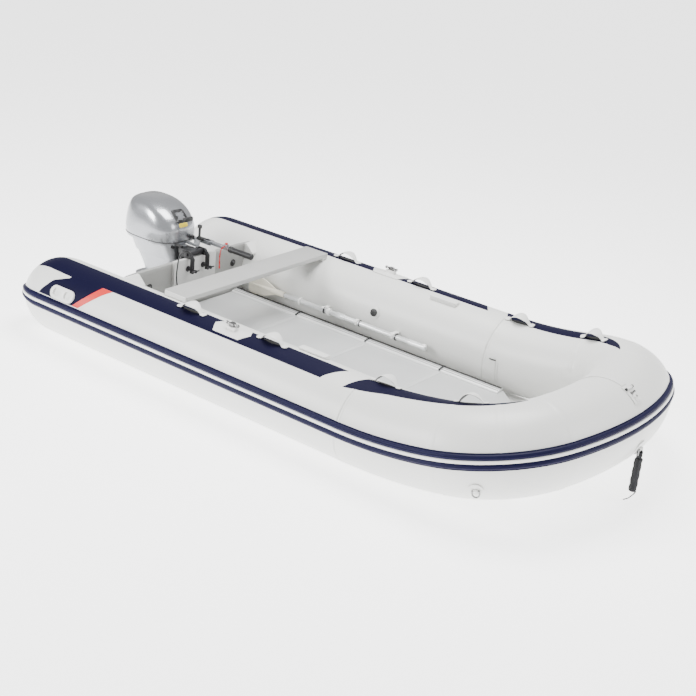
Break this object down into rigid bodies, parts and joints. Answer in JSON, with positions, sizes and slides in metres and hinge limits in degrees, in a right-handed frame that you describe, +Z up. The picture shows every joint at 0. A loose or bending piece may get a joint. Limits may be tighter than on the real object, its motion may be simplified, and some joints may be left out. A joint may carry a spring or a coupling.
{
  "type": "inflatable dinghy",
  "caption": "Inflatable dinghy with pale tubes, navy rubbing strake and patches, slatted aluminium floor, bench seat, stowed oars and a clamped outboard motor.",
  "frame": {"origin": "underside of the keel strip, on the centre line, under the forward face of the transom", "axes": "+X forward to the bow, +Y to port, +Z up; the boat stands on its keel strip and tubes at z = 0"},
  "size_m": [3.8777, 1.942, 0.765],
  "materials": {
    "pale_tube": "semi-matt coated fabric",
    "navy_rubber": "matt",
    "white_rubber": "matt",
    "navy_fabric": "matt",
    "red_fabric": "matt",
    "floor_metal": "anodised, ribbed",
    "plywood_grey": "painted board",
    "black_plastic": "satin",
    "grey_plastic": "satin",
    "black_rubber": "matt",
    "bright_metal": "bright",
    "motor_paint": "gloss",
    "motor_metal": "painted",
    "cowl_plastic": "silver gloss",
    "red_cord": "satin",
    "line": "braided",
    "pale_rubber": "satin moulded",
    "cream_plastic": "satin",
    "black_paint": "satin",
    "seat_paint": "semi-matt",
    "red_plastic": "satin"
  },
  "bodies": {
    "hull": {"starboard_tube": "pale_tube", "port_tube": "pale_tube", "bow_tube": "pale_tube", "rubbing_strake": "navy_rubber", "strake_stripe": "white_rubber", "navy_patches": "navy_fabric", "accent_stripes": "red_fabric", "hull_bottom": "pale_tube", "inflatable_keel": "pale_tube", "floor_panels": "floor_metal", "bow_floor_panel": "floor_metal", "floor_rails": "floor_metal", "transom": "plywood_grey", "motor_pads": "grey_plastic", "transom_holders": "grey_plastic", "drain_plugs": "black_plastic", "seat_holders": "pale_rubber", "grab_handles": "pale_rubber", "carry_handles": "pale_rubber", "rowlock_bases": "pale_rubber", "valve_bodies": "grey_plastic", "oar_clips": "pale_rubber", "bow_strap": "pale_rubber", "bow_fitting": "pale_rubber", "ring_patches": "pale_rubber", "clamp_bracket": "black_paint", "fuel_hose": "black_rubber", "fuel_hose_coil": "black_rubber"},
    "seat": {"seat": "seat_paint"},
    "starboard_oar": {"starboard_oar_shaft": "bright_metal", "starboard_oar_blade": "cream_plastic"},
    "port_oar": {"port_oar_shaft": "bright_metal", "port_oar_blade": "cream_plastic"},
    "starboard_rowlock": {"starboard_rowlock": "grey_plastic"},
    "port_rowlock": {"port_rowlock": "grey_plastic"},
    "starboard_valve_cap": {"starboard_valve_cap": "grey_plastic"},
    "port_valve_cap": {"port_valve_cap": "grey_plastic"},
    "tow_ring": {"tow_ring": "bright_metal", "painter_hank": "line", "painter_tail": "line"},
    "starboard_bow_ring": {"starboard_bow_ring": "bright_metal"},
    "port_bow_ring": {"port_bow_ring": "bright_metal"},
    "starboard_clamp_screw": {"starboard_clamp_screw": "black_paint"},
    "port_clamp_screw": {"port_clamp_screw": "black_paint"},
    "swivel": {"swivel_bracket": "motor_metal"},
    "motor": {"steering_shaft": "motor_metal", "drive_leg": "motor_metal", "gearcase": "motor_metal", "engine_block": "motor_metal", "lower_cowl": "motor_metal", "cowl_seal": "black_rubber"},
    "cowl": {"upper_cowl": "cowl_plastic"},
    "latch": {"cowl_latch": "black_plastic"},
    "starter_pull": {"recoil_handle": "black_plastic"},
    "gear_lever": {"shift_lever": "black_plastic"},
    "tiller": {"tiller_arm": "motor_paint", "stop_lanyard": "red_cord"},
    "throttle": {"throttle_grip": "black_rubber"},
    "stop_button": {"stop_button": "red_plastic"},
    "propeller": {"propeller": "motor_metal"}
  },
  "joints": [
    {"name": "seat_lift", "type": "slide", "parent": "hull", "child": "seat", "axis": [0, 0, 1], "range_m": [0, 0.12]},
    {"name": "starboard_oar_release", "type": "slide", "parent": "hull", "child": "starboard_oar", "axis": [0, 1, 0], "range_m": [0, 0.08]},
    {"name": "starboard_rowlock_turn", "type": "hinge", "parent": "hull", "child": "starboard_rowlock", "pos_m": [1.025, -0.74955, 0.47269], "axis": [0, -0.1392, 0.9903], "range_deg": [-60, 60]},
    {"name": "starboard_valve_cap_turn", "type": "hinge", "parent": "hull", "child": "starboard_valve_cap", "pos_m": [1.118, -0.48709, 0.29897], "axis": [0, 0.9659, 0.2588], "range_deg": [0, 90]},
    {"name": "starboard_bow_ring_swing", "type": "hinge", "parent": "hull", "child": "starboard_bow_ring", "pos_m": [2.76159, -0.89025, 0.22705], "axis": [0.9076, 0.3689, 0.2004], "range_deg": [-60, 0]},
    {"name": "starboard_clamp_screw_turn", "type": "hinge", "parent": "hull", "child": "starboard_clamp_screw", "pos_m": [0.06, -0.069, 0.392], "axis": [1, 0, 0], "continuous": true},
    {"name": "port_oar_release", "type": "slide", "parent": "hull", "child": "port_oar", "axis": [0, -1, 0], "range_m": [0, 0.08]},
    {"name": "port_rowlock_turn", "type": "hinge", "parent": "hull", "child": "port_rowlock", "pos_m": [1.025, 0.74955, 0.47269], "axis": [0, 0.1392, 0.9903], "range_deg": [-60, 60]},
    {"name": "port_valve_cap_turn", "type": "hinge", "parent": "hull", "child": "port_valve_cap", "pos_m": [1.118, 0.48709, 0.29897], "axis": [0, -0.9659, 0.2588], "range_deg": [0, 90]},
    {"name": "port_bow_ring_swing", "type": "hinge", "parent": "hull", "child": "port_bow_ring", "pos_m": [2.76159, 0.89025, 0.22705], "axis": [0.9076, -0.3689, 0.2004], "range_deg": [0, 60]},
    {"name": "port_clamp_screw_turn", "type": "hinge", "parent": "hull", "child": "port_clamp_screw", "pos_m": [0.06, 0.069, 0.392], "axis": [1, 0, 0], "continuous": true},
    {"name": "tow_ring_swing", "type": "hinge", "parent": "hull", "child": "tow_ring", "pos_m": [3.19214, 0, 0.31825], "axis": [0, -1, 0], "range_deg": [0, 40]},
    {"name": "tilt", "type": "hinge", "parent": "hull", "child": "swivel", "pos_m": [0.01, 0, 0.484], "axis": [0, 1, 0], "range_deg": [0, 60]},
    {"name": "steer", "type": "hinge", "parent": "swivel", "child": "motor", "pos_m": [-0.095, 0, 0.4], "axis": [0, 0, 1], "range_deg": [-30, 30]},
    {"name": "cowl_lift", "type": "slide", "parent": "motor", "child": "cowl", "axis": [0, 0, 1], "range_m": [0, 0.15]},
    {"name": "latch_open", "type": "hinge", "parent": "motor", "child": "latch", "pos_m": [-0.527, 0, 0.51], "axis": [0, -1, 0], "range_deg": [0, 60]},
    {"name": "starter_pull_out", "type": "slide", "parent": "cowl", "child": "starter_pull", "axis": [1, 0, 0], "range_m": [0, 0.45]},
    {"name": "gear_shift", "type": "hinge", "parent": "motor", "child": "gear_lever", "pos_m": [0.008, 0.037, 0.552], "axis": [0, 1, 0], "range_deg": [-20, 20]},
    {"name": "tiller_fold", "type": "hinge", "parent": "motor", "child": "tiller", "pos_m": [0.03, 0.125, 0.532], "axis": [0, -1, 0], "range_deg": [0, 90]},
    {"name": "throttle_turn", "type": "hinge", "parent": "tiller", "child": "throttle", "pos_m": [0.295, 0.125, 0.532], "axis": [1, 0, 0], "range_deg": [0, 100]},
    {"name": "stop_press", "type": "slide", "parent": "tiller", "child": "stop_button", "axis": [0, 0, -1], "range_m": [0, 0.004], "stiffness_N_per_m": 300},
    {"name": "propeller_spin", "type": "hinge", "parent": "motor", "child": "propeller", "pos_m": [-0.45, 0, 0.115], "axis": [1, 0, 0], "continuous": true}
  ]
}
